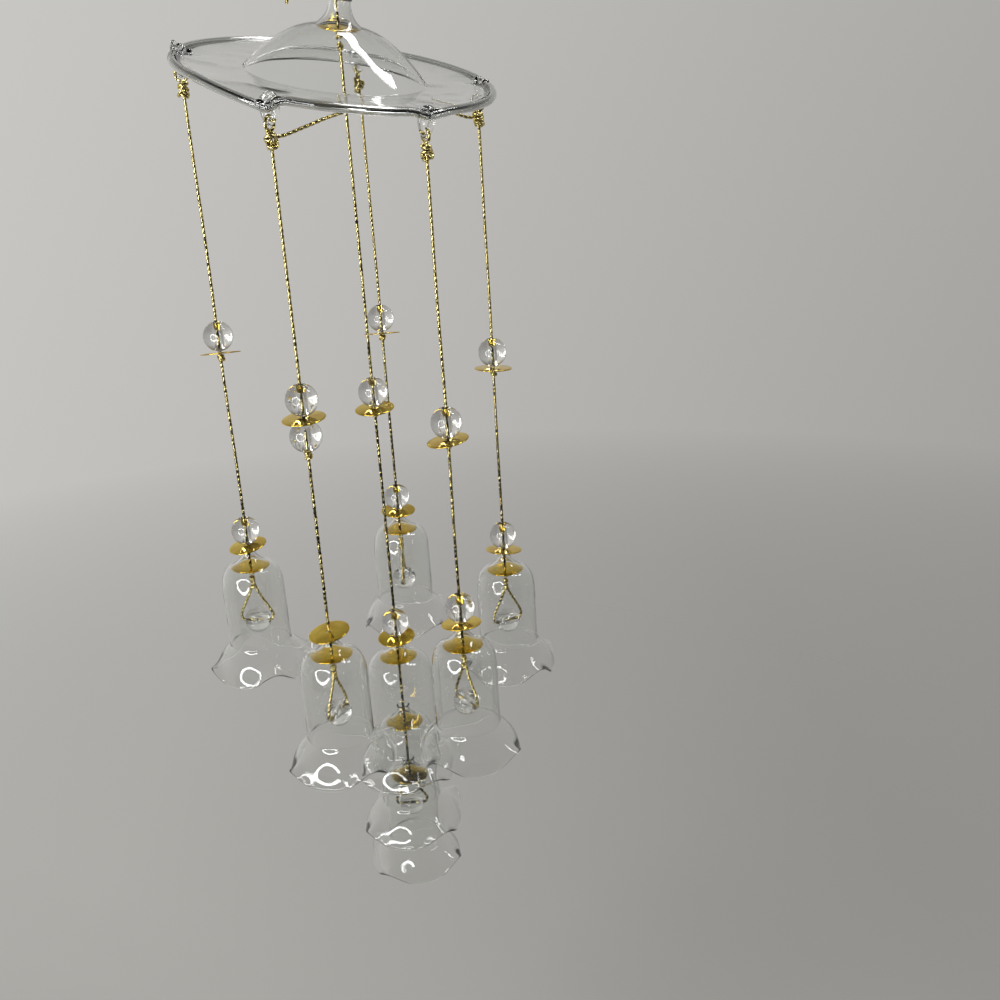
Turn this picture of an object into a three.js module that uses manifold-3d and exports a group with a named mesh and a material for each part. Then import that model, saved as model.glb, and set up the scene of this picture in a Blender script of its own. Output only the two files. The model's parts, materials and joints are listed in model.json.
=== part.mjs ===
// Glass bell wind chime: a clear glass crown on a hanging cord, five outer strands and one centre strand.
// Each strand carries clear beads, thin brass discs and glass bells with ruffled skirts and bead clappers.
// Millimetres, +Z up. The origin is the hook point, inside the top of the hanging loop.
import * as THREE from "three";
import { mergeVertices } from "three/addons/utils/BufferGeometryUtils.js";
import Module from "manifold-3d";

const wasm = await Module();
wasm.setup();

// Clearances
const GAP = 0.3; // between pieces that rest on each other
const DISC_PLAY = 0.5; // under and over a disc that hangs askew
const SEAT_PLAY = 0.4; // edge of a disc to the glass that sits on it
const TIE_CLEAR = 0.4; // glass eye to the turn of cord round it
const NEST_CLEAR = 0.4; // a bell's inside to the bell that hangs in it
const NECK_CLEAR = 0.3; // crown's lip to the cord that leans across its bore

// Cord and knots
const CORD_R = 0.55;
const STOP_KNOT_OVER = 0.4; // how far a stop knot stands out past the hole above it
const LINK_KNOT_R = 1.1; // the knots that strands and clappers turn on
const TIE_KNOT_BITE = 0.2; // how far the knot of a tie runs into its turn of cord

// Beads and discs
const BEAD_R = 5;
const BEAD_HOLE_CLEAR = 0.55; // cord to the wall of the hole
const CLAPPER_BEAD_R = 4.6;
const DISC_R = 6.5;
const DISC_T = 0.5;
const DISC_HOLE_CLEAR = 0.4;

// Hanging loop
const LOOP_HALF_WIDTH = 4.5;
const HANGER_KNOT_DROP = 30; // hook point to the knot that closes the loop
const HANGER_KNOT_R = 2;
const CROWN_DROP = 54; // hook point to the disc under the crown's neck
// Half of the loop, as shares of its half width and of its height.
const LOOP_SHAPE = [[0.04, 1], [0.55, 0.72], [1, 0.36], [0.8, 0.075]];
// Its loose end, from the knot.
const HANGER_TAIL = [[0, 0, 0], [-5, 0, -0.5], [-10.5, 0, -5], [-13.5, 0, -11], [-14.7, 0, -16]];

// Crown, measured from the disc that it sits on
const CROWN_TILT = 15.5; // degrees, as the uneven eyes make it hang
const CROWN_TILT_TOWARDS = 312; // degrees round from +X, the low side
const CROWN_WALL = 1.2;
const CROWN_NECK_RISE = 7.6; // disc to the lip of the neck
const CROWN_WAIST_RISE = 4.6; // disc to the narrowest place of the neck
const CROWN_WAIST_IN = 0.3; // how much narrower than the lip it is there
const CROWN_NECK_FLARE = 1.6; // height that the neck's lower curve bends at
const CROWN_DOME_OUT = 12; // how far out from the disc's seat the dome bends over
const CROWN_DOME_DOWN = 2.4; // and how far down
const CROWN_DOME_FOOT = 7.5; // length of the flat run into the crease
const CROWN_CREASE_R = 27.5; // where the dome meets the brim
const CROWN_CREASE_DEPTH = 1.6; // crease below the middle of the rim
const CROWN_RIM_DROP = 12.4; // disc to the middle of the rim
const CROWN_RIM_R = 48.6; // axis to the middle of the rolled rim
const CROWN_RIM_TUBE_R = 1.3;
const CROWN_BRIM_BEND = 12; // rim to where the brim turns up
const CROWN_RIM_DIP = 2.2; // how far an eye draws the rim down
const CROWN_DIP_WIDTH = 12; // rim to where that starts
const CROWN_DIP_HALF_ANGLE = 8; // degrees
const EYE_TUBE_R = 0.95;
const EYE_BEND_R = 2.2; // mean radius of the round ends of an eye
const EYE_STRETCH = 3; // straight length between the round ends
const EYE_INSET = 1; // middle of the rim in to the middle of an eye
const EYE_BAR_DROP = 7; // middle of the rim to the bottom bar of an eye

// Bells, measured from the lip of the neck
const BELL_NECK_CLEAR = 1.15; // cord to the bore of the neck
const BELL_NECK_LENGTH = 1.6;
const BELL_FLARE_DEPTH = 5; // lip to where the neck turns out
const BELL_SEAT_DEPTH = 7; // lip to the top of the disc inside
const BELL_SHOULDER_BEND = 8.2; // lip to where the shoulder turns down
const BELL_SHOULDER_DEPTH = 16.5; // lip to the straight body
const BELL_SKIRT_HEIGHT = 15.5;
const BELL_SKIRT_CURVE = 0.45; // power of the skirt's sweep, under 1 for lobes that bulge
const BELL_WALL = 0.8;
const RUFFLES = 4;
const RUFFLE_RISE = 5; // how far the rim lifts between two lobes
const RUFFLE_FLARE = 1.3; // how far it turns out there
const RUFFLE_SHARPNESS = 2;
const OUTER_BELL = { height: 48, bodyR: 11, skirtR: 17.6 };
// The three centre bells hang in each other, so the body of each follows from the largest.
const NESTED_BODY_R = 12;
const CENTRE_BELLS = [
  { name: "large_bell", height: 54.5, skirtR: 19.4, turn: 29 },
  { name: "middle_bell", height: 51.5, skirtR: 18.8, turn: 38 },
  { name: "small_bell", height: 45.2, skirtR: 17.4, turn: 60 },
];
const CENTRE_BELL_STEPS = [0, 27.2, 22.8]; // from the inner disc of the bell above

// Clappers, measured from the knot that they turn on
const CLAPPER_LENGTH = 16.5; // knot to the middle of the bead
const CLAPPER_FORK_DROP = 3.2; // knot to where the loop parts
const CLAPPER_LOOP_CLEAR = 1.2; // bead to the middle of the cord beside it
// Half of the loop down to its run through the bead, as shares of its half width and of its height.
const CLAPPER_SHAPE = [[0.04, 1], [0.36, 0.74], [0.76, 0.42], [1, 0.19], [0.97, 0.06]];

// Strands, hand tied, so each has its own place and drops: eye angle round the crown in degrees, eye bar to the
// upper disc, eye bar to the bell's disc, turn of the bell, and how the two loose discs lean (angle, direction).
const STRANDS = [
  { name: "left", eye: 178, upper: 87.2, bell: 156.7, turn: 28, lean: [10.5, 289], bellLean: [9, 40] },
  { name: "front_left", eye: 254.5, upper: 83.8, bell: 154.9, turn: 57, lean: [5, 355], bellLean: [10, 327] },
  { name: "front_right", eye: 309, upper: 90.1, bell: 153.1, turn: 20, lean: [8, 250], bellLean: [5, 170] },
  { name: "right", eye: 20, upper: 87.7, bell: 156.8, turn: 9, lean: [4, 18], bellLean: [7, 30] },
  { name: "back", eye: 87, upper: 92.3, bell: 163.2, turn: 42, lean: [10, 5], bellLean: [6, 200] },
];
const DOUBLE_BEAD_STRAND = "front_left"; // two beads at its upper disc, and none on its bell

// Loose cord ends at the ties, from the tie's knot, in the directions of the room
const TAILS = {
  front_left: [[0, 0, 0], [3, 1.5, -0.3], [9, 3.2, 1.6], [15, 4.2, 3.6], [20, 4.6, 4.9]],
  right: [[0, 0, 0], [-3, -1, -0.6], [-7, -2.4, 0.7], [-11, -3.8, 2.6], [-15, -5, 4.4]],
};

// Centre strand, measured from the disc under the crown
const CENTRE_UPPER_DROP = 118;
const CENTRE_BELL_DROP = 203.6;
const CENTRE_CLAPPER_DROP = 12.6; // smallest bell's disc to the middle of the clapper bead
const CENTRE_LEAN = [7, 250];

// Facets
const CORD_SIDES = 8;
const LOOP_STEPS = 24;
const CLAPPER_STEPS = 15;
const TAIL_STEPS = 8;
const RING_STEPS = 12;
const EYE_SIDES = 6;
const CROWN_SEGMENTS = 36;
const BELL_SEGMENTS = 20;
const BEAD_SEGMENTS = 10;
const BEAD_RINGS = 6;
const DISC_SEGMENTS = 12;
const CURVE_STEPS = 2;
const DOME_STEPS = 4;
const RIM_ARC = [-60, -15, 30, 75, 120]; // degrees round the rolled rim

// Holes and knots follow the cord
const BEAD_HOLE_R = CORD_R + BEAD_HOLE_CLEAR;
const DISC_HOLE_R = CORD_R + DISC_HOLE_CLEAR;
const STOP_KNOT_R = BEAD_HOLE_R + STOP_KNOT_OVER;
const TIE_RING_R = EYE_TUBE_R + TIE_CLEAR + CORD_R;
const TIE_KNOT_DROP = TIE_RING_R + STOP_KNOT_R - TIE_KNOT_BITE;

// Materials
const glass = (opacity) =>
  new THREE.MeshStandardMaterial({ color: 0xe4e8e6, roughness: 0.05, metalness: 0, transparent: true, opacity });
const crownGlass = glass(0.35);
const bellGlass = glass(0.3);
const beadClear = glass(0.45);
const discBrass = new THREE.MeshStandardMaterial({ color: 0xb8922e, roughness: 0.3, metalness: 1 });
const cordGold = new THREE.MeshStandardMaterial({ color: 0x8a6a24, roughness: 0.45, metalness: 0.8 });

const WELD = 1e-4; // corners nearer than this are one
const rad = THREE.MathUtils.degToRad;
const UP = new THREE.Vector3(0, 0, 1);

// Keeps only the positions and joins the corners that faces share.
function welded(geometry) {
  const bare = geometry.clone();
  bare.deleteAttribute("normal");
  bare.deleteAttribute("uv");
  return mergeVertices(bare, WELD);
}

// Turns a closed mesh right side out.
function facingOut(geometry) {
  const p = geometry.attributes.position;
  const index = geometry.index.array;
  const [a, b, c] = [new THREE.Vector3(), new THREE.Vector3(), new THREE.Vector3()];
  let volume = 0;
  for (let i = 0; i < index.length; i += 3) {
    a.fromBufferAttribute(p, index[i]);
    b.fromBufferAttribute(p, index[i + 1]);
    c.fromBufferAttribute(p, index[i + 2]);
    volume += a.dot(b.cross(c));
  }
  if (volume < 0) {
    for (let i = 0; i < index.length; i += 3) {
      [index[i], index[i + 1]] = [index[i + 1], index[i]];
    }
  }
  return geometry;
}

function closed(geometry) {
  return facingOut(welded(geometry));
}

// A ring-shaped solid from a closed outline of [radius, height] points.
function turned(outline, segments) {
  const points = [...outline, outline[0]].map(([r, z]) => new THREE.Vector2(r, z));
  return closed(new THREE.LatheGeometry(points, segments).rotateX(Math.PI / 2));
}

// The points of a smooth curve in an outline, without its first, bent by the points between its ends.
function bend(points, steps) {
  const ends = points.map(([r, z]) => new THREE.Vector2(r, z));
  const Curve = points.length === 3 ? THREE.QuadraticBezierCurve : THREE.CubicBezierCurve;
  return new Curve(...ends).getPoints(steps).slice(1).map(({ x, y }) => [x, y]);
}

// Joins closed meshes that run into each other into one.
function joined(pieces) {
  const solids = pieces.map(
    (g) =>
      new wasm.Manifold(
        new wasm.Mesh({
          numProp: 3,
          vertProperties: new Float32Array(g.attributes.position.array),
          triVerts: new Uint32Array(g.index.array),
        }),
      ),
  );
  const { vertProperties, triVerts } = solids.reduce((sum, s) => sum.add(s)).getMesh();
  const geometry = new THREE.BufferGeometry();
  geometry.setAttribute("position", new THREE.BufferAttribute(vertProperties, 3));
  geometry.setIndex(new THREE.BufferAttribute(triVerts, 1));
  return geometry;
}

function named(name, geometry, material) {
  const mesh = new THREE.Mesh(geometry, material);
  mesh.name = name;
  return mesh;
}

// A straight stretch of cord between two heights.
function rod(low, high) {
  const cylinder = new THREE.CylinderGeometry(CORD_R, CORD_R, high - low, CORD_SIDES);
  return closed(cylinder.rotateX(Math.PI / 2).translate(0, 0, (low + high) / 2));
}

// A bent stretch of cord along a smooth curve through the points.
function tube(points, steps) {
  const curve = new THREE.CatmullRomCurve3(points.map((p) => new THREE.Vector3(...p)));
  const corners = Array.from({ length: CORD_SIDES }, (_, i) => {
    const turn = (2 * Math.PI * i) / CORD_SIDES;
    return new THREE.Vector2(CORD_R * Math.cos(turn), CORD_R * Math.sin(turn));
  });
  const options = { steps, bevelEnabled: false, extrudePath: curve };
  return closed(new THREE.ExtrudeGeometry(new THREE.Shape(corners), options));
}

// A loop of cord, even on both sides, that hangs from its top and passes through a lowest or highest middle.
function evenLoop(half, middle, steps) {
  const other = half.map(([x, y, z]) => [-x, y, z]).reverse();
  return tube([...half, middle, ...other], steps);
}

function knot(height, radius) {
  return closed(new THREE.OctahedronGeometry(radius, 1).translate(0, 0, height));
}

// Half the height of a bead along its hole.
function beadHalf(radius) {
  return Math.sqrt(radius ** 2 - BEAD_HOLE_R ** 2);
}

function bead(radius) {
  const start = Math.asin(BEAD_HOLE_R / radius);
  const outline = Array.from({ length: BEAD_RINGS + 1 }, (_, i) => {
    const turn = start + ((Math.PI - 2 * start) * i) / BEAD_RINGS;
    return [radius * Math.sin(turn), -radius * Math.cos(turn)];
  });
  return turned(outline, BEAD_SEGMENTS);
}

function disc() {
  const half = DISC_T / 2;
  const outline = [
    [DISC_HOLE_R, -half],
    [DISC_R, -half],
    [DISC_R, half],
    [DISC_HOLE_R, half],
  ];
  return turned(outline, DISC_SEGMENTS);
}

// How far below a hole's edge the middle of the knot under it lies.
function knotUnder(holeR) {
  return Math.sqrt(STOP_KNOT_R ** 2 - holeR ** 2) + GAP;
}

// The same outline moved out by a wall, for a line that runs down and out from the neck.
function offset(line, wall) {
  return line.map(([r, z], i) => {
    const [r0, z0] = line[Math.max(i - 1, 0)];
    const [r1, z1] = line[Math.min(i + 1, line.length - 1)];
    const length = Math.hypot(r1 - r0, z1 - z0);
    return [r - ((z1 - z0) / length) * wall, z + ((r1 - r0) / length) * wall];
  });
}

// A glass bell hanging from the lip of its neck, with a ruffled skirt.
function bell({ height, bodyR, skirtR }) {
  const innerR = bodyR - BELL_WALL;
  const boreR = CORD_R + BELL_NECK_CLEAR;
  const skirtTop = BELL_SKIRT_HEIGHT - height;
  const neckEnd = [boreR, -BELL_NECK_LENGTH];
  const seat = [DISC_R + SEAT_PLAY, -BELL_SEAT_DEPTH];
  const body = [innerR, -BELL_SHOULDER_DEPTH];
  const skirt = Array.from({ length: CURVE_STEPS }, (_, i) => (i + 1) / CURVE_STEPS).map((s) => [
    innerR + (skirtR - bodyR) * s ** BELL_SKIRT_CURVE,
    skirtTop - BELL_SKIRT_HEIGHT * s,
  ]);
  const inside = [
    [boreR, 0],
    neckEnd,
    ...bend([neckEnd, [boreR, -BELL_FLARE_DEPTH], seat], CURVE_STEPS),
    ...bend([seat, [innerR, -BELL_SHOULDER_BEND], body], CURVE_STEPS),
    [innerR, skirtTop],
    ...skirt,
  ];
  const shell = turned([...inside, ...offset(inside, BELL_WALL).reverse()], BELL_SEGMENTS);
  const p = shell.attributes.position;
  for (let i = 0; i < p.count; i += 1) {
    const [x, y, z] = [p.getX(i), p.getY(i), p.getZ(i)];
    const low = THREE.MathUtils.clamp((skirtTop - z) / BELL_SKIRT_HEIGHT, 0, 1);
    const notch = (0.5 + 0.5 * Math.cos(RUFFLES * Math.atan2(y, x))) ** RUFFLE_SHARPNESS;
    const wave = notch * low ** 2;
    const widen = 1 + (RUFFLE_FLARE * wave) / Math.hypot(x, y);
    p.setXYZ(i, x * widen, y * widen, z + RUFFLE_RISE * wave);
  }
  return shell;
}

// The cord loop of a clapper below its knot: two sides and the run through the bead.
function clapperLoop(fork, beadHeight) {
  const side = CLAPPER_BEAD_R + CLAPPER_LOOP_CLEAR;
  const half = CLAPPER_SHAPE.map(([w, h]) => [side * w, 0, beadHeight + (fork - beadHeight) * h]);
  half.push([CLAPPER_BEAD_R, 0, beadHeight]);
  return evenLoop(half, [0, 0, beadHeight], CLAPPER_STEPS);
}

function clapperBead() {
  return bead(CLAPPER_BEAD_R).rotateY(Math.PI / 2);
}

// Leans a piece on its cord: an angle, and the direction of its low side.
function leaning(piece, [angle, towards]) {
  const low = new THREE.Vector3(Math.cos(rad(towards)), Math.sin(rad(towards)), 0);
  piece.quaternion.setFromAxisAngle(UP.clone().cross(low), rad(angle));
  return piece;
}

function at(mesh, height) {
  mesh.position.z = height;
  return mesh;
}

// Heights of a bead, disc and knot that stop on each other, from the disc's middle.
const BEAD_OVER_DISC = DISC_T / 2 + DISC_PLAY + beadHalf(BEAD_R);
const KNOT_UNDER_DISC = DISC_T / 2 + knotUnder(DISC_HOLE_R);
const INNER_DISC_DROP = DISC_T + DISC_PLAY + BELL_SEAT_DEPTH; // bell's disc to the disc inside
const LINK_DROP = STOP_KNOT_R + GAP + LINK_KNOT_R; // a stop knot to the knot that turns under it
// The crown's disc tilts with it, so the knot under that disc sits a little lower.
const CROWN_KNOT_DROP = KNOT_UNDER_DISC + DISC_HOLE_R * Math.sin(rad(CROWN_TILT));

// The crown: neck, dome, dish brim and rolled rim in one wall, with a glass eye for each outer strand.
function crown() {
  const rim = -CROWN_RIM_DROP;
  const crease = rim - CROWN_CREASE_DEPTH;
  const lean = rad(CROWN_TILT);
  const boreR = CROWN_NECK_RISE * Math.tan(lean) + CORD_R / Math.cos(lean) + NECK_CLEAR;
  const waist = [boreR - CROWN_WAIST_IN, CROWN_WAIST_RISE];
  const seat = [DISC_R + SEAT_PLAY, DISC_T / 2];
  const domeFoot = [CROWN_CREASE_R, crease];
  const domeTop = [seat[0] + CROWN_DOME_OUT, seat[1] - CROWN_DOME_DOWN];
  const brimEdge = [CROWN_RIM_R - CROWN_RIM_TUBE_R, rim - CROWN_WALL / 2];
  const under = [
    [boreR, CROWN_NECK_RISE],
    waist,
    ...bend([waist, [waist[0], CROWN_NECK_FLARE], seat], CURVE_STEPS),
    ...bend([seat, domeTop, [CROWN_CREASE_R - CROWN_DOME_FOOT, crease], domeFoot], DOME_STEPS),
    ...bend([domeFoot, [CROWN_RIM_R - CROWN_BRIM_BEND, crease], brimEdge], CURVE_STEPS),
  ];
  const over = offset(under, CROWN_WALL).reverse();
  const roll = RIM_ARC.map((turn) => [
    CROWN_RIM_R + CROWN_RIM_TUBE_R * Math.cos(rad(turn)),
    rim + CROWN_RIM_TUBE_R * Math.sin(rad(turn)),
  ]);
  const shell = turned([...under, ...roll, ...over], CROWN_SEGMENTS);
  const p = shell.attributes.position;
  for (let i = 0; i < p.count; i += 1) {
    p.setZ(i, p.getZ(i) - rimDip(p.getX(i), p.getY(i)));
  }
  return joined([shell, ...STRANDS.map(({ eye }) => glassEye(rad(eye)))]);
}

// How far the brim is drawn down at a place, by the eyes near it.
function rimDip(x, y) {
  const outward = THREE.MathUtils.smoothstep(Math.hypot(x, y), CROWN_RIM_R - CROWN_DIP_WIDTH, CROWN_RIM_R);
  const angle = THREE.MathUtils.radToDeg(Math.atan2(y, x));
  const pulls = STRANDS.map(({ eye }) => {
    const away = Math.abs(((angle - eye + 540) % 360) - 180);
    return Math.exp(-((away / CROWN_DIP_HALF_ANGLE) ** 2));
  });
  return CROWN_RIM_DIP * outward * Math.max(...pulls);
}

// A long link of glass below the rim, its opening facing out.
function glassEye(turn) {
  const ring = new THREE.TorusGeometry(EYE_BEND_R, EYE_TUBE_R, EYE_SIDES, RING_STEPS);
  const link = closed(ring.rotateX(Math.PI / 2));
  const p = link.attributes.position;
  for (let i = 0; i < p.count; i += 1) {
    const z = p.getZ(i);
    p.setZ(i, z > WELD ? z + EYE_STRETCH : z);
  }
  link.rotateZ(Math.PI / 2);
  link.translate(CROWN_RIM_R - EYE_INSET, 0, EYE_BEND_R - EYE_BAR_DROP - CROWN_RIM_DROP);
  return link.rotateZ(turn);
}

// The cord of an outer strand: a turn round the glass eye, its knot and tail, and the stop knots.
function strandCord(stops, tail) {
  const ring = new THREE.TorusGeometry(TIE_RING_R, CORD_R, CORD_SIDES, RING_STEPS);
  const pieces = [
    closed(ring.rotateX(Math.PI / 2)),
    knot(-TIE_KNOT_DROP, STOP_KNOT_R),
    rod(stops.at(-1), -TIE_KNOT_DROP),
    ...stops.map((height) => knot(height, STOP_KNOT_R)),
  ];
  if (tail) {
    pieces.push(tube(tail, TAIL_STEPS));
  }
  return joined(pieces);
}

// A clapper's knot, stem and loop.
function clapperCord() {
  const fork = -CLAPPER_FORK_DROP;
  return joined([
    knot(0, LINK_KNOT_R),
    rod(fork, 0),
    knot(fork, LINK_KNOT_R),
    clapperLoop(fork, -CLAPPER_LENGTH),
  ]);
}

// An outer strand, measured down from its eye bar.
function outerStrand({ name, upper, bell: bellDrop, turn, lean, bellLean }, tail) {
  const group = new THREE.Group();
  const double = name === DOUBLE_BEAD_STRAND;
  const innerDisc = -bellDrop - INNER_DISC_DROP;
  const innerKnot = innerDisc - KNOT_UNDER_DISC;
  const pivot = innerKnot - LINK_DROP;
  const lowerBead = -upper - BEAD_OVER_DISC;
  const underBead = lowerBead - beadHalf(BEAD_R) - knotUnder(BEAD_HOLE_R);
  const upperKnot = double ? underBead : -upper - KNOT_UNDER_DISC;
  const extraBead = double ? ["lower_bead", lowerBead] : ["bell_bead", -bellDrop + BEAD_OVER_DISC];
  const add = (part, geometry, material, height) => {
    const mesh = at(named(`${name}_${part}`, geometry, material), height);
    group.add(mesh);
    return mesh;
  };
  add("cord", strandCord([upperKnot, innerKnot], tail), cordGold, 0);
  add("upper_bead", bead(BEAD_R), beadClear, -upper + BEAD_OVER_DISC);
  leaning(add("upper_disc", disc(), discBrass, -upper), lean);
  add(extraBead[0], bead(BEAD_R), beadClear, extraBead[1]);
  leaning(add("bell_disc", disc(), discBrass, -bellDrop), bellLean);
  add("bell", bell(OUTER_BELL).rotateZ(rad(turn)), bellGlass, -bellDrop - DISC_T / 2 - DISC_PLAY);
  add("inner_disc", disc(), discBrass, innerDisc);
  add("clapper_cord", clapperCord(), cordGold, pivot);
  add("clapper_bead", clapperBead(), beadClear, pivot - CLAPPER_LENGTH);
  return group;
}

// The centre strand hangs from the knot under the crown's disc and carries three nested bells.
function centreStrand() {
  const group = new THREE.Group();
  const top = -CROWN_KNOT_DROP - LINK_DROP;
  let seat = -CENTRE_BELL_DROP - INNER_DISC_DROP;
  const knots = [-CENTRE_UPPER_DROP - KNOT_UNDER_DISC];
  CENTRE_BELLS.forEach(({ name, height, skirtR, turn }, i) => {
    seat -= CENTRE_BELL_STEPS[i];
    const bodyR = NESTED_BODY_R - i * (BELL_WALL + NEST_CLEAR);
    const shell = bell({ height, bodyR, skirtR }).rotateZ(rad(turn));
    group.add(at(named(name, shell, bellGlass), seat + DISC_T / 2 + BELL_SEAT_DEPTH));
    group.add(at(named(`${name}_inner_disc`, disc(), discBrass), seat));
    knots.push(seat - KNOT_UNDER_DISC);
  });
  const clapper = seat - CENTRE_CLAPPER_DROP;
  const cord = joined([
    knot(top, LINK_KNOT_R),
    rod(knots.at(-1), top),
    ...knots.map((height) => knot(height, STOP_KNOT_R)),
    clapperLoop(knots.at(-1), clapper),
  ]);
  group.add(named("centre_cord", cord, cordGold));
  group.add(at(named("centre_upper_bead", bead(BEAD_R), beadClear), -CENTRE_UPPER_DROP + BEAD_OVER_DISC));
  group.add(leaning(at(named("centre_upper_disc", disc(), discBrass), -CENTRE_UPPER_DROP), CENTRE_LEAN));
  group.add(at(named("centre_bell_bead", bead(BEAD_R), beadClear), -CENTRE_BELL_DROP + BEAD_OVER_DISC));
  group.add(leaning(at(named("centre_bell_disc", disc(), discBrass), -CENTRE_BELL_DROP), CENTRE_LEAN));
  group.add(at(named("centre_clapper_bead", clapperBead(), beadClear), clapper));
  return group;
}

// The hanging loop, its knot and loose end, and the stem down the crown's neck to the knot under its disc.
function hangerCord() {
  const half = LOOP_SHAPE.map(([w, h]) => [LOOP_HALF_WIDTH * w, 0, -HANGER_KNOT_DROP * h]);
  const tail = HANGER_TAIL.map(([x, y, z]) => [x, y, z - HANGER_KNOT_DROP]);
  const seatKnot = -CROWN_DROP - CROWN_KNOT_DROP;
  return joined([
    evenLoop(half, [0, 0, CORD_R], LOOP_STEPS),
    knot(-HANGER_KNOT_DROP, HANGER_KNOT_R),
    rod(seatKnot, -HANGER_KNOT_DROP),
    knot(seatKnot, STOP_KNOT_R),
    tube(tail, TAIL_STEPS),
  ]);
}

const chime = new THREE.Group();
chime.add(named("hanger_cord", hangerCord(), cordGold));

const crownGroup = new THREE.Group();
crownGroup.position.z = -CROWN_DROP;
leaning(crownGroup, [CROWN_TILT, CROWN_TILT_TOWARDS]);
crownGroup.add(named("crown", crown(), crownGlass));
crownGroup.add(named("crown_disc", disc(), discBrass));
chime.add(crownGroup);

for (const strand of STRANDS) {
  const bar = new THREE.Vector3(CROWN_RIM_R - EYE_INSET, 0, -CROWN_RIM_DROP - EYE_BAR_DROP);
  bar.applyAxisAngle(UP, rad(strand.eye));
  bar.applyQuaternion(crownGroup.quaternion).add(crownGroup.position);
  const facing = Math.atan2(bar.y, bar.x);
  const tail = TAILS[strand.name]?.map(([x, y, z]) => {
    const end = new THREE.Vector3(x, y, z - TIE_KNOT_DROP).applyAxisAngle(UP, -facing);
    return end.toArray();
  });
  const group = outerStrand(strand, tail);
  group.position.copy(bar);
  group.rotation.z = facing;
  chime.add(group);
}

const centre = centreStrand();
centre.position.z = -CROWN_DROP;
chime.add(centre);

export default chime;
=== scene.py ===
"""The looks of a hanging glass bell chime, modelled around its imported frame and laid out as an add-on."""

import json
import math

import bmesh
import bpy
from mathutils import Matrix, Vector
from mathutils.geometry import interpolate_bezier
from mathutils.noise import noise as noise_value


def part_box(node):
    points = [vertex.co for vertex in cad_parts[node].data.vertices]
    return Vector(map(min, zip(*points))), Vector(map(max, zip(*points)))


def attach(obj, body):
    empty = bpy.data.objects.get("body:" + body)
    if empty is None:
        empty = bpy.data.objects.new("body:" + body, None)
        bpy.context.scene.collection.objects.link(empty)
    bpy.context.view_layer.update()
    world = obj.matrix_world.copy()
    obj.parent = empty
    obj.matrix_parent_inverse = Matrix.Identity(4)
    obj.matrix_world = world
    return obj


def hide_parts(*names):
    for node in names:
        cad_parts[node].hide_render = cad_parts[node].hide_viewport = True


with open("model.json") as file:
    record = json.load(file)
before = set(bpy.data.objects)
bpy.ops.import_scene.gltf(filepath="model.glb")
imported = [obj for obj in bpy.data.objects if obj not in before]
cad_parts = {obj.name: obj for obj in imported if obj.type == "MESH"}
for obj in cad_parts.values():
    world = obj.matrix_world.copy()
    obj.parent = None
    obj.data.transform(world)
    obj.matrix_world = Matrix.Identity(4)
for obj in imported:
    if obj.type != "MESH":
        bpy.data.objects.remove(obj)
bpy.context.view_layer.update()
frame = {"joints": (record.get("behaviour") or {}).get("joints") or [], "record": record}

bl_info = {
    "name": "Glass bell chime",
    "version": (1, 0, 0),
    "blender": (4, 5, 0),
    "location": "View3D > Sidebar > Chime",
    "description": "Models the glass, beads, discs and cords of a hanging bell chime on its packed frame",
    "category": "Add Mesh",
}

MM = 0.001
UP = Vector((0, 0, 1))

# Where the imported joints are: the ties, the bells' lips and the clappers' knots.
PLACE = {joint["name"]: Vector(joint.get("pos_m", (0, 0, 0))) for joint in frame["joints"]}
CROWN_SEAT = PLACE["crown_turn"]

# Outer strands: turn of the bell, and how the upper and bell discs lean (degrees, and towards where).
OUTER = {
    "left": {"turn": 28, "upper": (10.5, 289), "bell": (9, 40)},
    "front_left": {"turn": 57, "upper": (5, 355), "bell": (10, 327)},
    "front_right": {"turn": 20, "upper": (8, 250), "bell": (5, 170)},
    "right": {"turn": 9, "upper": (4, 18), "bell": (7, 30)},
    "back": {"turn": 42, "upper": (10, 5), "bell": (6, 200)},
}
CENTRE_TURNS = {"large_bell": 29, "middle_bell": 38, "small_bell": 60}
CENTRE_LEAN = (7, 250)
DOUBLE_BEAD_STRAND = "front_left"

# Cord routes: loose ends from their knots in millimetres, half loops as shares of width and height.
HANGER_TAIL = ((0, 0, 0), (-5, 0, -0.5), (-10.5, 0, -5), (-13.5, 0, -11), (-14.7, 0, -16))
TAILS = {
    "front_left": ((0, 0, 0), (3, 1.5, -0.3), (9, 3.2, 1.6), (15, 4.2, 3.6), (20, 4.6, 4.9)),
    "right": ((0, 0, 0), (-3, -1, -0.6), (-7, -2.4, 0.7), (-11, -3.8, 2.6), (-15, -5, 4.4)),
}
LOOP_SHAPE = ((0.04, 1), (0.55, 0.72), (1, 0.36), (0.8, 0.075))
CLAPPER_SHAPE = ((0.04, 1), (0.36, 0.74), (0.76, 0.42), (1, 0.19), (0.97, 0.06))
LOOP_HALF_WIDTH = 4.5 * MM
LOOP_HEIGHT = 30 * MM
HANGER_KNOT_REACH = 1.6 * MM
HANGER_KNOT_WIDTH = 1.2 * MM
TIE_RADIUS = 1.9 * MM
TIE_OFFSET = 0.35 * MM
TIE_KNOT_DROP = 3.2 * MM
TIE_KNOT_REACH = (0.8 * MM, 3.4 * MM)
TIE_KNOT_WIDTH = 1.35 * MM
TIE_KNOT_TILT = 0.7 * MM
KNOT_RADIUS = 1.5 * MM
LINK_KNOT_RADIUS = 1.1 * MM
KNOT_POINTS = 46
LINK_DROP = 2.9 * MM
SEAT_DROP = 1.71 * MM
CLAPPER_LENGTH = 16.5 * MM
CLAPPER_FORK = 3.2 * MM
CLAPPER_HALF_WIDTH = 5.8 * MM

# Crown, from the disc that it sits on
CROWN_TILT = math.radians(15.5)
CROWN_TILT_TOWARDS = math.radians(312)

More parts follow.
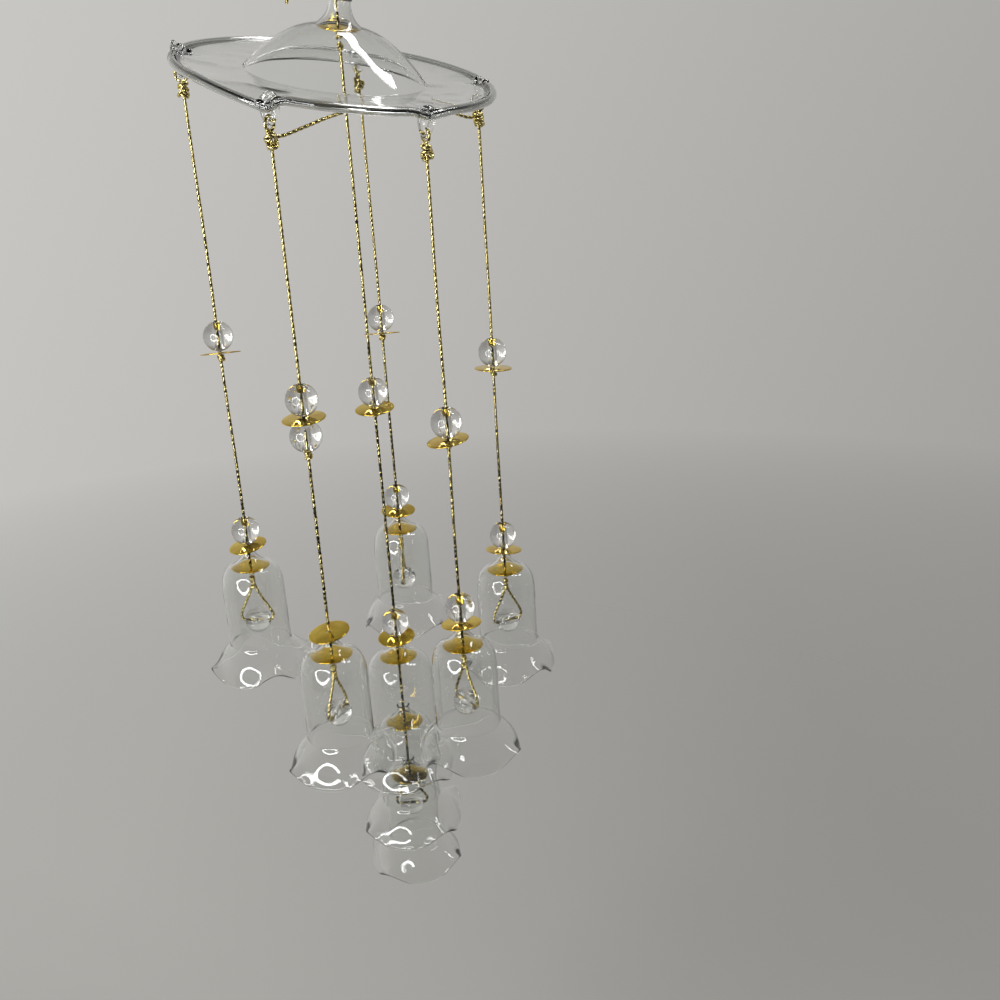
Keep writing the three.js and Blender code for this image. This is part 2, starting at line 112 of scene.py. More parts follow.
# Glass eyes on the rim: angle, how far the rim is drawn down and the reach of that either way,
# size of the folds, and whether a curl of drawn glass stands beside the eye
EYES = {
    "left": {"angle": 178, "dip": 0.9, "reach": (9, 9), "folds": 1.45, "curl": True},
    "front_left": {"angle": 254.5, "dip": 3.0, "reach": (34, 6), "folds": 1.15, "curl": False},
    "front_right": {"angle": 309, "dip": 1.3, "reach": (8, 12), "folds": 1.1, "curl": False},
    "right": {"angle": 20, "dip": 0.8, "reach": (9, 9), "folds": 1.2, "curl": False},
    "back": {"angle": 87, "dip": 0.8, "reach": (9, 9), "folds": 1.0, "curl": False},
}


def length_prop(name, description, millimetres):
    """A length that a user can change, with its default in millimetres."""
    return bpy.props.FloatProperty(
        name=name, description=description, default=millimetres * MM, unit="LENGTH", precision=5, min=0
    )


def colour_prop(name, description, colour):
    """A colour that a user can change."""
    return bpy.props.FloatVectorProperty(
        name=name, description=description, default=colour, subtype="COLOR", size=3, min=0, max=1
    )


def share_prop(name, description, share):
    """A share from 0 to 1 that a user can change."""
    return bpy.props.FloatProperty(
        name=name, description=description, default=share, subtype="FACTOR", min=0, max=1
    )


class ChimeCordSettings(bpy.types.PropertyGroup):
    diameter: length_prop("Diameter", "Width of the twisted cord over its two plies", 1.1)
    lay: length_prop("Lay", "Length in which the plies turn once round each other", 3.4)
    groove: share_prop("Groove", "How deep the cord draws in between its plies", 0.13)
    gold: colour_prop("Gold", "Metal foil of the plies", (0.92, 0.78, 0.34))
    # Groove shade is painted shade: a dark colour in the groove between the plies.
    dark: colour_prop("Groove shade", "Dark core between the foil and the plies", (0.04, 0.028, 0.01))


class ChimeGlassSettings(bpy.types.PropertyGroup):
    crown_wall: length_prop("Crown wall", "Thickness of the crown's glass", 1.2)
    bell_wall: length_prop("Bell wall", "Thickness of the bells' glass", 0.55)
    neck_lip: length_prop("Neck flare", "How far the lip of a bell's neck turns out", 0.2)
    ruffle_rise: length_prop("Ruffle rise", "How far a bell's rim lifts between two lobes", 5)
    ruffle_flare: length_prop("Ruffle flare", "How far it turns out there", 1.9)
    tint: colour_prop("Tint", "Colour of the glass", (0.965, 0.972, 0.965))
    # Rim tint is painted shade: a grey colour on the thick rolled rim that stands in for its dark
    # refraction.
    rim_painted_shade: colour_prop("Rim tint", "Colour of the crown's thick rolled rim", (0.74, 0.75, 0.74))
    bead_tint: colour_prop("Bead tint", "Colour of the clear beads", (0.95, 0.95, 0.94))


class ChimeBrassSettings(bpy.types.PropertyGroup):
    thickness: length_prop("Thickness", "Thickness of a disc", 0.4)
    radius: length_prop("Radius", "Radius of a disc", 6.5)
    hole: length_prop("Hole", "Radius of its hole", 0.95)
    dish: length_prop("Dish", "How far its edge was stamped down", 0.25)
    brass: colour_prop("Brass", "Bright metal", (0.83, 0.61, 0.09))
    tarnish: colour_prop("Tarnish", "Dulled metal", (0.64, 0.42, 0.045))


class ChimeStageSettings(bpy.types.PropertyGroup):
    pale: colour_prop("Backdrop", "Pale tint of the floor and backdrop", (1.0, 0.985, 0.945))
    overhead: share_prop("Overhead", "How bright the room above is beside the backdrop", 0.3)
    front: share_prop("Front", "How bright the room behind the camera is in reflections", 0.2)
    floor_tone: share_prop("Floor tone", "How pale the floor is on its light side", 0.42)
    floor_drop: length_prop("Floor", "How far the floor lies below the hook", 520)
    lens: bpy.props.FloatProperty(
        name="Lens", description="Focal length on a 36 mm sensor", default=39.6, unit="CAMERA", min=1
    )


# Paths and tubes of cord


def path_length(points):
    return sum((b - a).length for a, b in zip(points, points[1:]))


def even_path(points, step):
    """A smooth curve through the points, as points an even step apart."""
    first = points[0] * 2 - points[1]
    last = points[-1] * 2 - points[-2]
    knots = [first, *points, last]
    dense = []
    for a, b, c, d in zip(knots, knots[1:], knots[2:], knots[3:]):
        handle_b = b + (c - a) / 6
        handle_c = c - (d - b) / 6
        dense.extend(interpolate_bezier(b, handle_b, handle_c, c, 24)[:-1])
    dense.append(points[-1])
    total = path_length(dense)
    count = max(2, round(total / step))
    even = [dense[0].copy()]
    walked = 0.0
    for a, b in zip(dense, dense[1:]):
        run = (b - a).length
        while len(even) < count and walked + run >= total * len(even) / count:
            even.append(a.lerp(b, (total * len(even) / count - walked) / run))
        walked += run
    even.append(dense[-1].copy())
    return even


def across(points):
    """Two directions square to the path at each of its points, turning as little as the path allows."""
    pairs = []
    side = (points[1] - points[0]).orthogonal()
    for i in range(len(points)):
        along = (points[min(i + 1, len(points) - 1)] - points[max(i - 1, 0)]).normalized()
        side = (side - along * side.dot(along)).normalized()
        pairs.append((side.copy(), along.cross(side)))
    return pairs


def next_ring(bm, ring, edges):
    """Extrudes an open ring of edges, and gives the new ring in the same order and its edges."""
    grown = bmesh.ops.extrude_edge_only(bm, edges=edges)["geom"]
    fresh = {item for item in grown if isinstance(item, bmesh.types.BMVert)}
    edges = [item for item in grown if isinstance(item, bmesh.types.BMEdge)]
    ring = [next(e.other_vert(v) for e in v.link_edges if e.other_vert(v) in fresh) for v in ring]
    return ring, edges


def twisted_tube(bm, points, cord, sides=12):
    """Adds a two-ply twisted cord along an even path, with its ends closed."""
    ply_layer = bm.verts.layers.float.get("ply") or bm.verts.layers.float.new("ply")
    run_layer = bm.verts.layers.float.get("run") or bm.verts.layers.float.new("run")
    ring = list(bmesh.ops.create_circle(bm, segments=sides, radius=cord.diameter / 2)["verts"])
    edges = list({edge for vert in ring for edge in vert.link_edges})
    first = list(edges)
    step = (points[1] - points[0]).length
    pairs = across(points)
    for i, (centre, (side, over)) in enumerate(zip(points, pairs)):
        if i:
            ring, edges = next_ring(bm, ring, edges)
        turn = math.tau * i * step / cord.lay
        for k, vert in enumerate(ring):
            angle = math.tau * k / sides
            ply = math.cos(2 * (angle - turn))
            radius = cord.diameter / 2 * (1 - cord.groove * (1 - ply))
            vert.co = centre + (side * math.cos(angle) + over * math.sin(angle)) * radius
            vert[ply_layer] = ply
            vert[run_layer] = i * step
    bmesh.ops.holes_fill(bm, edges=first, sides=sides)
    bmesh.ops.holes_fill(bm, edges=edges, sides=sides)


def knot_points(centre, radius, height):
    """An overhand knot: a three-lobed knot of cord round its own stem, squeezed flat or long."""
    points = []
    for i in range(KNOT_POINTS):
        t = math.tau * i / KNOT_POINTS
        wide = (2 + math.cos(3 * t)) / 3 * radius
        spot = Vector((math.cos(2 * t) * wide, math.sin(2 * t) * wide, math.sin(3 * t) * height))
        points.append(centre + spot)
    return points


def wrap_points(top, bottom, radius, turns, tilt=0.0, phase=0.0):
    """Turns of cord wound round a strand from one height down to another, loosely where they tilt."""
    count = round(abs(turns) * 14)
    points = []
    for i in range(count + 1):
        share = i / count
        angle = phase + math.tau * turns * share
        swell = radius * (0.6 + 0.4 * math.sin(math.pi * share) ** 0.7)
        lift = tilt * math.sin(angle + 2.4 * share) * math.sin(math.pi * share)
        spot = Vector((math.cos(angle) * swell, math.sin(angle) * swell, lift))
        points.append(top.lerp(bottom, share) + spot)
    return points


def new_cord_piece(name, paths, body, node=None):
    """Makes one cord piece of several twisted stretches, riding on a body."""
    cord = bpy.context.scene.chime_cord
    bm = bmesh.new()
    for points in paths:
        twisted_tube(bm, points, cord)
    bmesh.ops.recalc_face_normals(bm, faces=bm.faces)
    return new_piece(name, bm, gold_cord_material(), body, node)


def mesh_object(name, bm):
    """Turns a bmesh into an object at the origin of the scene."""
    mesh = bpy.data.meshes.new(name)
    bm.to_mesh(mesh)
    bm.free()
    made = bpy.data.objects.new(name, mesh)
    bpy.context.scene.collection.objects.link(made)
    return made


def new_piece(name, bm, material, body, node=None):
    """Turns a bmesh into a smooth piece at the origin that rides on a body."""
    piece = mesh_object(name, bm)
    piece.data.shade_smooth()
    piece.data.materials.append(material)
    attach(piece, body)
    if node:
        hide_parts(node)
    return piece


# Materials


def blank_material(name):
    """A material with a fresh Principled shader, and its nodes and links."""
    material = bpy.data.materials.get(name)
    if material:
        return material, None, None, None
    material = bpy.data.materials.new(name)
    material.use_nodes = True
    nodes = material.node_tree.nodes
    return material, nodes, material.node_tree.links, nodes["Principled BSDF"]


def noise(nodes, links, scale, detail):
    """Noise on Object coordinates."""
    place = nodes.new("ShaderNodeTexCoord")
    texture = nodes.new("ShaderNodeTexNoise")
    texture.inputs["Scale"].default_value = scale
    texture.inputs["Detail"].default_value = detail
    links.new(place.outputs["Object"], texture.inputs["Vector"])
    return texture.outputs["Fac"]


def mesh_value(nodes, attribute):
    """A value that the mesh carries at its points."""
    node = nodes.new("ShaderNodeAttribute")
    node.attribute_name = attribute
    return node.outputs["Fac"]


def ramp(nodes, links, source, stops):
    """A colour ramp on a value, from (position, colour) stops."""
    node = nodes.new("ShaderNodeValToRGB")
    elements = node.color_ramp.elements
    elements[0].position, elements[0].color = stops[0][0], (*stops[0][1], 1)
    elements[1].position, elements[1].color = stops[-1][0], (*stops[-1][1], 1)
    for position, colour in stops[1:-1]:
        elements.new(position).color = (*colour, 1)
    links.new(source, node.inputs["Fac"])
    return node.outputs["Color"]


def math_node(nodes, links, operation, *sources):
    """A sum on values, each of them a number or another node's output."""
    node = nodes.new("ShaderNodeMath")
    node.operation = operation
    for slot, source in zip(node.inputs, sources):
        if isinstance(source, (int, float)):
            slot.default_value = source
        else:
            links.new(source, slot)
    return node.outputs["Value"]


def map_range(nodes, links, source, from_range=(0, 1), to_range=(0, 1)):
    """A value moved from one range to another, and held inside it."""
    node = nodes.new("ShaderNodeMapRange")
    node.inputs["From Min"].default_value, node.inputs["From Max"].default_value = from_range
    node.inputs["To Min"].default_value, node.inputs["To Max"].default_value = to_range
    links.new(source, node.inputs["Value"])
    return node.outputs["Result"]


def bump(nodes, links, shader, height, strength, distance):
    """Feeds a height into the shader's normal."""
    node = nodes.new("ShaderNodeBump")
    node.inputs["Strength"].default_value = strength
    node.inputs["Distance"].default_value = distance
    links.new(height, node.inputs["Height"])
    links.new(node.outputs["Normal"], shader.inputs["Normal"])


def grey(value):
    return (value, value, value)


def clear_glass_material(name, tint, ior, wave_scale, wave_depth):
    """Clear glass with the faint waves of hand blowing and a trace of haze."""
    material, nodes, links, shader = blank_material(name)
    if nodes is None:
        return material
    shader.inputs["Transmission Weight"].default_value = 1
    shader.inputs["IOR"].default_value = ior
    shader.inputs["Base Color"].default_value = (*tint, 1)
    haze = ramp(nodes, links, noise(nodes, links, 160, 3), ((0.5, grey(0.0)), (0.8, grey(0.05))))
    links.new(haze, shader.inputs["Roughness"])
    bump(nodes, links, shader, noise(nodes, links, wave_scale, 1), 0.25, wave_depth)
    return material


def painted_shade_where(material, attribute, tint, shaded_tint):
    """Darkens a glass's colour where an attribute of the mesh is set: painted shade."""
    nodes = material.node_tree.nodes
    links = material.node_tree.links
    blend = ramp(nodes, links, mesh_value(nodes, attribute), ((0.0, tint), (1.0, shaded_tint)))
    links.new(blend, nodes["Principled BSDF"].inputs["Base Color"])


def brass_material():
    """Thin stamped brass, dulled in patches and finely scratched."""
    material, nodes, links, shader = blank_material("stamped brass")
    if nodes is None:
        return material
    brass = bpy.context.scene.chime_brass
    shader.inputs["Metallic"].default_value = 1
    patches = noise(nodes, links, 160, 4)
    dulled = ramp(nodes, links, patches, ((0.35, tuple(brass.tarnish)), (0.62, tuple(brass.brass))))
    links.new(dulled, shader.inputs["Base Color"])
    rough = ramp(nodes, links, noise(nodes, links, 900, 4), ((0.3, grey(0.10)), (0.8, grey(0.24))))
    links.new(rough, shader.inputs["Roughness"])
    bump(nodes, links, shader, noise(nodes, links, 900, 4), 0.06, 0.00005)
    return material


# Foil of the cord: scale of its random flecks, width of its windings, the run of cord along which the
# flecks spread as painted shade, and how much gold shows at the start of that run and at its end
FOIL_FLECK_SCALE = 900
FOIL_WINDING = 0.45 * MM
FOIL_PAINTED_SHADE_RUN = 140 * MM
FOIL_GOLD_AT_START = 0.15
FOIL_GOLD_AT_END = -0.05


def gold_cord_material():
    """Metal foil wound on two plies: painted shade in the groove, and random dark flecks whose share grows
    along its run as painted shade.
    """
    material, nodes, links, shader = blank_material("twisted gold cord")
    if nodes is None:
        return material
    cord = bpy.context.scene.chime_cord
    ply = mesh_value(nodes, "ply")
    run = mesh_value(nodes, "run")
    shader.inputs["Metallic"].default_value = 0.92
    lifted = map_range(nodes, links, ply, (-1, 1))
    gold = tuple(cord.gold)
    # Painted shade: the groove between the plies is coloured dark.
    foil = ramp(nodes, links, lifted, ((0.08, tuple(cord.dark)), (0.36, gold), (1.0, gold)))
    # Painted shade: the share of dark flecks grows along each cord's run, darkening the cord towards the
    # end of its run, on the hanging strands their lower end.
    gold_share = map_range(nodes, links, run, (0, FOIL_PAINTED_SHADE_RUN), (FOIL_GOLD_AT_START, FOIL_GOLD_AT_END))
    fleck = math_node(nodes, links, "MULTIPLY_ADD", noise(nodes, links, FOIL_FLECK_SCALE, 2), 1.0, gold_share)
    flecks = ramp(nodes, links, fleck, ((0.42, grey(0.05)), (0.55, grey(1.0))))
    flecked_and_shaded = nodes.new("ShaderNodeMix")
    flecked_and_shaded.data_type = "RGBA"
    flecked_and_shaded.blend_type = "MULTIPLY"
    flecked_and_shaded.inputs["Factor"].default_value = 1
    links.new(foil, flecked_and_shaded.inputs["A"])
    links.new(flecks, flecked_and_shaded.inputs["B"])
    links.new(flecked_and_shaded.outputs["Result"], shader.inputs["Base Color"])
    turns = math_node(nodes, links, "MULTIPLY", run, math.tau / FOIL_WINDING)
    edges = math_node(nodes, links, "SINE", turns)
    rough = ramp(nodes, links, noise(nodes, links, 1500, 4), ((0.3, grey(0.14)), (0.8, grey(0.32))))
    links.new(rough, shader.inputs["Roughness"])
    bump(nodes, links, shader, edges, 0.35, 0.00004)
    return material


# Glass outlines


def spun(outline, segments):
    """A closed ring-shaped bmesh from a closed outline of (radius, height) points."""
    bm = bmesh.new()
    verts = [bm.verts.new((radius, 0, height)) for radius, height in outline]
    edges = [bm.edges.new(pair) for pair in zip(verts, verts[1:] + verts[:1])]
    bmesh.ops.spin(
        bm, geom=verts + edges, cent=(0, 0, 0), axis=UP, dvec=(0, 0, 0), angle=math.tau,
        steps=segments, use_merge=True, use_duplicate=False,
    )
    bmesh.ops.remove_doubles(bm, verts=bm.verts, dist=1e-7)
    bmesh.ops.recalc_face_normals(bm, faces=bm.faces)
    return bm


def curve(a, b, c, d, count):
    """Points of a smooth bend from a to d, without the first, drawn towards b and c."""
    ends = [Vector((*p, 0)) for p in (a, b, c, d)]
    return [(p.x, p.y) for p in interpolate_bezier(*ends, count + 1)[1:]]


def left_normals(spots):
    """The direction to the left of a line at each of its points."""
    normals = []
    for i in range(len(spots)):
        along = (spots[min(i + 1, len(spots) - 1)] - spots[max(i - 1, 0)]).normalized()
        normals.append(Vector((-along.y, along.x)))
    return normals


def walled(line, wall, round_steps=5):
    """A closed outline round a line of (radius, height) points, with round ends."""
    spots = [Vector(p) for p in line]
    normals = left_normals(spots)
    half = wall / 2
    left = [p + n * half for p, n in zip(spots, normals)]
    right = [p - n * half for p, n in zip(spots, normals)]
    end = [arc(spots[-1], normals[-1] * half, -math.pi * i / round_steps) for i in range(1, round_steps)]
    start = [arc(spots[0], normals[0] * -half, -math.pi * i / round_steps) for i in range(1, round_steps)]
    return [tuple(p) for p in left + end + right[::-1] + start]


def arc(centre, spoke, angle):
    """The end of a spoke turned about a centre."""
    turned = Vector((
        spoke.x * math.cos(angle) - spoke.y * math.sin(angle),
        spoke.x * math.sin(angle) + spoke.y * math.cos(angle),
    ))
    return centre + turned


def facing(name):
    """Direction of an outer strand from the centre, as an angle."""
    place = PLACE[f"{name}_swing"]
    return math.atan2(place.y, place.x)


def lean_matrix(lean, around=0.0):
    """Leans a disc by an angle, its low side towards a direction."""
    angle, towards = lean
    turn = around + math.radians(towards)
    return Matrix.Rotation(math.radians(angle), 4, Vector((-math.sin(turn), math.cos(turn), 0)))


def middle(node):
    """Middle of a CAD node's box."""
    low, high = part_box(node)
    return (low + high) / 2


# Bells: heights of skirt and shoulder, bore of the neck, and where the inner disc seats (radius, height)
BELL_SKIRT = 12.2 * MM
BELL_SHOULDER = 16.5 * MM
BELL_NECK_BORE = 1.7 * MM
BELL_SEAT = (7.2 * MM, -6.8 * MM)
BELL_RUFFLES = 4
RUFFLE_SHARPNESS = 2.2
BELL_SEGMENTS = 192
LOBE_CURL = 0.35 * MM
UNEVEN_DEPTH = 0.17 * MM
UNEVEN_SCALE = 110
CREASE_DEPTH = 0.8 * MM
# Height, radius of the body and radius of the skirt
BELL_SIZES = {
    "outer": (48 * MM, 11 * MM, 17.6 * MM),
    "large_bell": (54.5 * MM, 12 * MM, 19.4 * MM),
    "middle_bell": (51.5 * MM, 10.8 * MM, 18.8 * MM),
    "small_bell": (45.2 * MM, 9.6 * MM, 17.4 * MM),
}


def bell_mesh(size, lip, turn):
    """A thin blown bell below its lip: trumpet neck, round shoulder, straight body, ruffled skirt."""
    glass = bpy.context.scene.chime_glass
    height, body_r, skirt_r = BELL_SIZES[size]
    half = glass.bell_wall / 2
    neck_r = BELL_NECK_BORE + half
    wall_r = body_r - half
    skirt_top = BELL_SKIRT - height
    line = [(neck_r + glass.neck_lip, -half)]
    line += curve(line[0], (neck_r, -0.3 * MM), (neck_r, -0.8 * MM), (neck_r, -1.6 * MM), 5)
    line += curve(line[-1], (neck_r + 0.3 * MM, -3.6 * MM), (4.3 * MM, -5.6 * MM), BELL_SEAT, 10)
    turn_r = BELL_SEAT[0] + (wall_r - BELL_SEAT[0]) * 0.62
    line += curve(BELL_SEAT, (turn_r, -7.5 * MM), (wall_r, -10.4 * MM), (wall_r, -BELL_SHOULDER), 14)
    line += [(wall_r, -BELL_SHOULDER + (skirt_top + BELL_SHOULDER) * i / 8) for i in range(1, 9)]
    sweep = skirt_r - body_r
    drop = BELL_SKIRT - half
    line += curve(
        line[-1], (wall_r + sweep * 0.03, skirt_top - drop * 0.2),
        (wall_r + sweep * 0.74, skirt_top - drop * 0.3), (wall_r + sweep, skirt_top - drop), 24,
    )
    bm = spun(walled(line, glass.bell_wall), BELL_SEGMENTS)
    for vert in bm.verts:
        low = min(max((skirt_top - vert.co.z) / BELL_SKIRT, 0), 1)
        around = math.atan2(vert.co.y, vert.co.x)
        notch = (0.5 + 0.5 * math.cos(BELL_RUFFLES * around)) ** RUFFLE_SHARPNESS
        wave = notch * low ** 2 * (1 + 0.18 * math.cos(around + lip.x * 60))
        out = Vector((vert.co.x, vert.co.y, 0)).normalized()
        crease = CREASE_DEPTH * notch * math.sin(math.pi * low)
        vert.co += out * (glass.ruffle_flare * wave * low - crease - LOBE_CURL * (1 - notch) * low ** 4)
        vert.co += UP * glass.ruffle_rise * wave
        uneven = noise_value(vert.co * UNEVEN_SCALE + lip * UNEVEN_SCALE)
        vert.co += out * UNEVEN_DEPTH * uneven * (0.35 + 0.65 * low)
    bmesh.ops.transform(bm, verts=bm.verts, matrix=Matrix.Translation(lip) @ Matrix.Rotation(turn, 4, "Z"))
    return bm


def bead_mesh(radius, hole):
    """A round bead with its hole along Z, its edge eased."""
    start = math.asin(hole / radius)
    rim = math.cos(start) * radius
    outline = []
    for i in range(25):
        angle = start + 0.1 + (math.pi - 2 * start - 0.2) * i / 24
        outline.append((radius * math.sin(angle), radius * math.cos(angle)))
    ease = 0.12 * MM
    outline.append((hole, -rim + 3 * ease))
    outline.append((hole, rim - 3 * ease))
    return spun(outline, 64)


def disc_mesh():
    """A thin disc, slightly dished by its stamping, with rounded edges and a hole."""
    brass = bpy.context.scene.chime_brass
    line = []
    for i in range(13):
        radius = brass.hole + (brass.radius - brass.hole) * i / 12
        line.append((radius, brass.dish * (0.5 - (radius / brass.radius) ** 2)))
    return spun(walled(line, brass.thickness, 6), 96)


# Crown outline, from the disc that it sits on
CROWN_RIM_RADIUS = 48.6 * MM
CROWN_RIM_HEIGHT = -12.4 * MM
CROWN_RIM_TUBE = 1.3 * MM
RIM_BORE = 0.85 * MM
RIM_MARGIN = 0.1 * MM
CROWN_SEGMENTS = 240
CROWN_CREASE_HEIGHT = -14 * MM
EYE_TUBE = 0.95 * MM
EYE_BEND = 2.2 * MM
EYE_STRETCH = 3 * MM
EYE_INSET = 1 * MM
EYE_DROP = 7 * MM
DIP_WIDTH = 12 * MM
NECK_WALL = 0.55 * MM


def crown_outline():
    """Neck, dome, brim and rolled rim of the crown as one closed outline."""
    wall = bpy.context.scene.chime_glass.crown_wall
    seat = (6.9 * MM, 0.25 * MM)
    lip = (3.1 * MM, 8.7 * MM)
    waist = (2.85 * MM, 7.2 * MM)
    edge = (CROWN_RIM_RADIUS - CROWN_RIM_TUBE, CROWN_RIM_HEIGHT - wall / 2)
    under = [lip]
    under += curve(lip, (2.9 * MM, 8.3 * MM), (2.8 * MM, 7.8 * MM), waist, 6)
    neck_points = len(under)
    under += curve(waist, (3.0 * MM, 4.2 * MM), (4.3 * MM, 2.1 * MM), seat, 12)
    seat_points = len(under)
    flank = (26.8 * MM, -13.2 * MM)
    under += curve(seat, (14.5 * MM, -1.1 * MM), (21.4 * MM, -7 * MM), flank, 30)
    foot = (28.2 * MM, CROWN_CREASE_HEIGHT)
    under += curve(flank, (27.2 * MM, -13.7 * MM), (27.5 * MM, CROWN_CREASE_HEIGHT), foot, 8)
    under += curve(foot, (34 * MM, CROWN_CREASE_HEIGHT), (40 * MM, CROWN_CREASE_HEIGHT), edge, 14)
    spots = [Vector(p) for p in under]
    over = []
    for i, (spot, normal) in enumerate(zip(spots, left_normals(spots))):
        share = min(max((i - neck_points) / seat_points, 0), 1)
        over.append(tuple(spot + normal * (NECK_WALL + (wall - NECK_WALL) * share)))
    rim = Vector((CROWN_RIM_RADIUS, CROWN_RIM_HEIGHT))
    spoke = Vector((CROWN_RIM_TUBE, 0))
    roll = [tuple(arc(rim, spoke, math.radians(-140 + 280 * i / 20))) for i in range(21)]
    top = Vector(lip).lerp(Vector(over[0]), 0.5)
    spoke = Vector(over[0]) - top
    cap = [tuple(arc(top, spoke, math.pi * i / 6)) for i in range(1, 6)]
    return under + roll + over[::-1] + cap


def rim_dip(spot):
    """How far the brim is drawn down at a place by the glass eyes near it."""
    inner = CROWN_RIM_RADIUS - DIP_WIDTH
    share = min(max((math.hypot(spot.x, spot.y) - inner) / DIP_WIDTH, 0), 1)
    angle = math.degrees(math.atan2(spot.y, spot.x))
    deepest = 0.0
    for eye in EYES.values():
        away = (angle - eye["angle"] + 540) % 360 - 180
        reach = eye["reach"][0] if away < 0 else eye["reach"][1]
        near = max(1 - abs(away) / reach, 0)
        deepest = max(deepest, eye["dip"] * MM * near ** 1.5)
    return deepest * share * share * (3 - 2 * share)


def rim_height(eye, spot):
    """Height of the rim's middle at a spot near an eye, before it is turned to its place."""
    return CROWN_RIM_HEIGHT - rim_dip(Matrix.Rotation(math.radians(eye["angle"]), 3, "Z") @ spot)


def plain_tube(bm, points, radii, sides=16):
    """Adds a round closed rod of changing radius along an even path."""
    ring = list(bmesh.ops.create_circle(bm, segments=sides, radius=radii[0])["verts"])
    edges = list({edge for vert in ring for edge in vert.link_edges})
    first = list(edges)
    for i, (centre, (side, over)) in enumerate(zip(points, across(points))):
        if i:
            ring, edges = next_ring(bm, ring, edges)
        for k, vert in enumerate(ring):
            angle = math.tau * k / sides
            vert.co = centre + (side * math.cos(angle) + over * math.sin(angle)) * radii[i]
    bmesh.ops.holes_fill(bm, edges=first, sides=sides)
    bmesh.ops.holes_fill(bm, edges=edges, sides=sides)


def add_link(bm):
    """Adds the long link of a glass eye, drawn narrow towards its lower bar."""
    bar = CROWN_RIM_HEIGHT - EYE_DROP
    tall = 2 * EYE_BEND + EYE_STRETCH
    spots = []
    for i in range(49):
        angle = math.radians(-90 + 360 * i / 48)
        share = 0.5 + 0.5 * math.sin(angle)
        half = EYE_BEND * (0.55 + 0.6 * share)
        spots.append(Vector((CROWN_RIM_RADIUS - EYE_INSET, half * math.cos(angle), bar + tall * share)))
    points = even_path(spots, 0.35 * MM)
    plain_tube(bm, points, [EYE_TUBE * (0.9 + 0.4 * (point.z - bar) / tall) for point in points])


# Lumps of pressed glass at an eye, in millimetres: across the rim, along it, above it, and their radius
FOLD_NUBS = ((-1.9, 1.3, 0.7, 1.15), (-3.2, -0.9, 0.1, 1.0), (0.2, -1.9, 0.9, 0.95), (-1.2, -0.4, 1.1, 1.0))
CURL_RADIUS = 1.5 * MM
CURL_TUBE = 0.85 * MM


def add_curl(bm, eye):
    """Adds the curl of drawn glass that stands up beside an eye."""
    centre = Vector((CROWN_RIM_RADIUS + 0.3 * MM, 3.4 * MM, 0))
    centre.z = rim_height(eye, centre) + 1.5 * MM
    spots = []
    for i in range(25):
        angle = math.tau * i / 24
        spoke = Vector((-0.4 * math.sin(angle), math.sin(angle), math.cos(angle)))
        spots.append(centre + spoke * CURL_RADIUS)
    points = even_path(spots, 0.3 * MM)
    plain_tube(bm, points, [CURL_TUBE] * len(points))


def add_folds(bm, eye):
    """Adds the wrinkled rod, nubs and curl where the hot glass of an eye was pressed over the rim."""
    size = eye["folds"]
    reach = math.radians(4.6) * size
    spots = []
    for i in range(21):
        angle = reach * (i / 10 - 1)
        spot = Vector((math.cos(angle), math.sin(angle), 0)) * (CROWN_RIM_RADIUS - 0.2 * MM)
        spot.z = rim_height(eye, spot) + 0.75 * MM
        spots.append(spot)
    points = even_path(spots, 0.25 * MM)
    radii = []
    for i in range(len(points)):
        share = 2 * i / (len(points) - 1) - 1
        taper = max(1 - share * share, 0.05) ** 0.5
        radii.append(size * MM * taper * (0.95 + 0.16 * math.sin(11 * share + 1)))
    plain_tube(bm, points, radii)
    if eye["curl"]:
        add_curl(bm, eye)
    for across_rim, along_rim, lift, radius in FOLD_NUBS:
        nub = bmesh.ops.create_icosphere(bm, subdivisions=3, radius=radius * size * MM)["verts"]
        place = Vector((CROWN_RIM_RADIUS + across_rim * MM, along_rim * size * MM, 0))
        place.z = rim_height(eye, place) + lift * MM
        bmesh.ops.scale(bm, verts=nub, vec=(0.8, 1.25, 1))
        bmesh.ops.translate(bm, verts=nub, vec=place)


def add_mesh(bm, extra):
    """Adds one bmesh to another."""
    mesh = bpy.data.meshes.new("spare")
    extra.to_mesh(mesh)
    extra.free()
    bm.from_mesh(mesh)
    bpy.data.meshes.remove(mesh)


def united(bm, extra):
    """One closed bmesh of two that run into each other."""
    base = mesh_object("crown_shell", bm)
    tool = mesh_object("crown_eyes", extra)
    join = base.modifiers.new("join", "BOOLEAN")
    join.operation = "UNION"
    join.solver = "EXACT"
    join.use_self = True
    join.object = tool
    shown = base.evaluated_get(bpy.context.evaluated_depsgraph_get())
    whole = bmesh.new()
    whole.from_mesh(shown.to_mesh())
    shown.to_mesh_clear()
    for spare in (base, tool):
        mesh = spare.data
        bpy.data.objects.remove(spare)
        bpy.data.meshes.remove(mesh)
    if not whole.faces:
        raise RuntimeError("the crown's eyes did not join its rim")
    return whole


class CHIME_OT_stage(bpy.types.Operator):
    """Set the camera, the pale floor, the backdrop and the lamps"""

    bl_idname = "chime.stage"
    bl_label = "Stage"

    def execute(self, context):
        stage = context.scene.chime_stage
        context.scene.view_settings.view_transform = "Standard"
        place_camera(stage)
        lay_floor(stage)
        paint_world(stage)
        hang_lamps()
        return {"FINISHED"}


CAMERA_PLACE = Vector((40.5, -361.8, -80.3)) * MM
CAMERA_PITCH = math.radians(-19.37)
CAMERA_ROLL = math.radians(-3.35)

# Floor, in metres: its radius, the spans in which painted shade darkens it to the right and in which it
# fades out, and how pale its painted dark side is beside the light one
FLOOR_RADIUS = 3
FLOOR_SHADE_SPAN = (-0.22, 0.28)
FLOOR_FADE_SPAN = (0.3, 1.3)
FLOOR_DARK_SIDE = 0.66

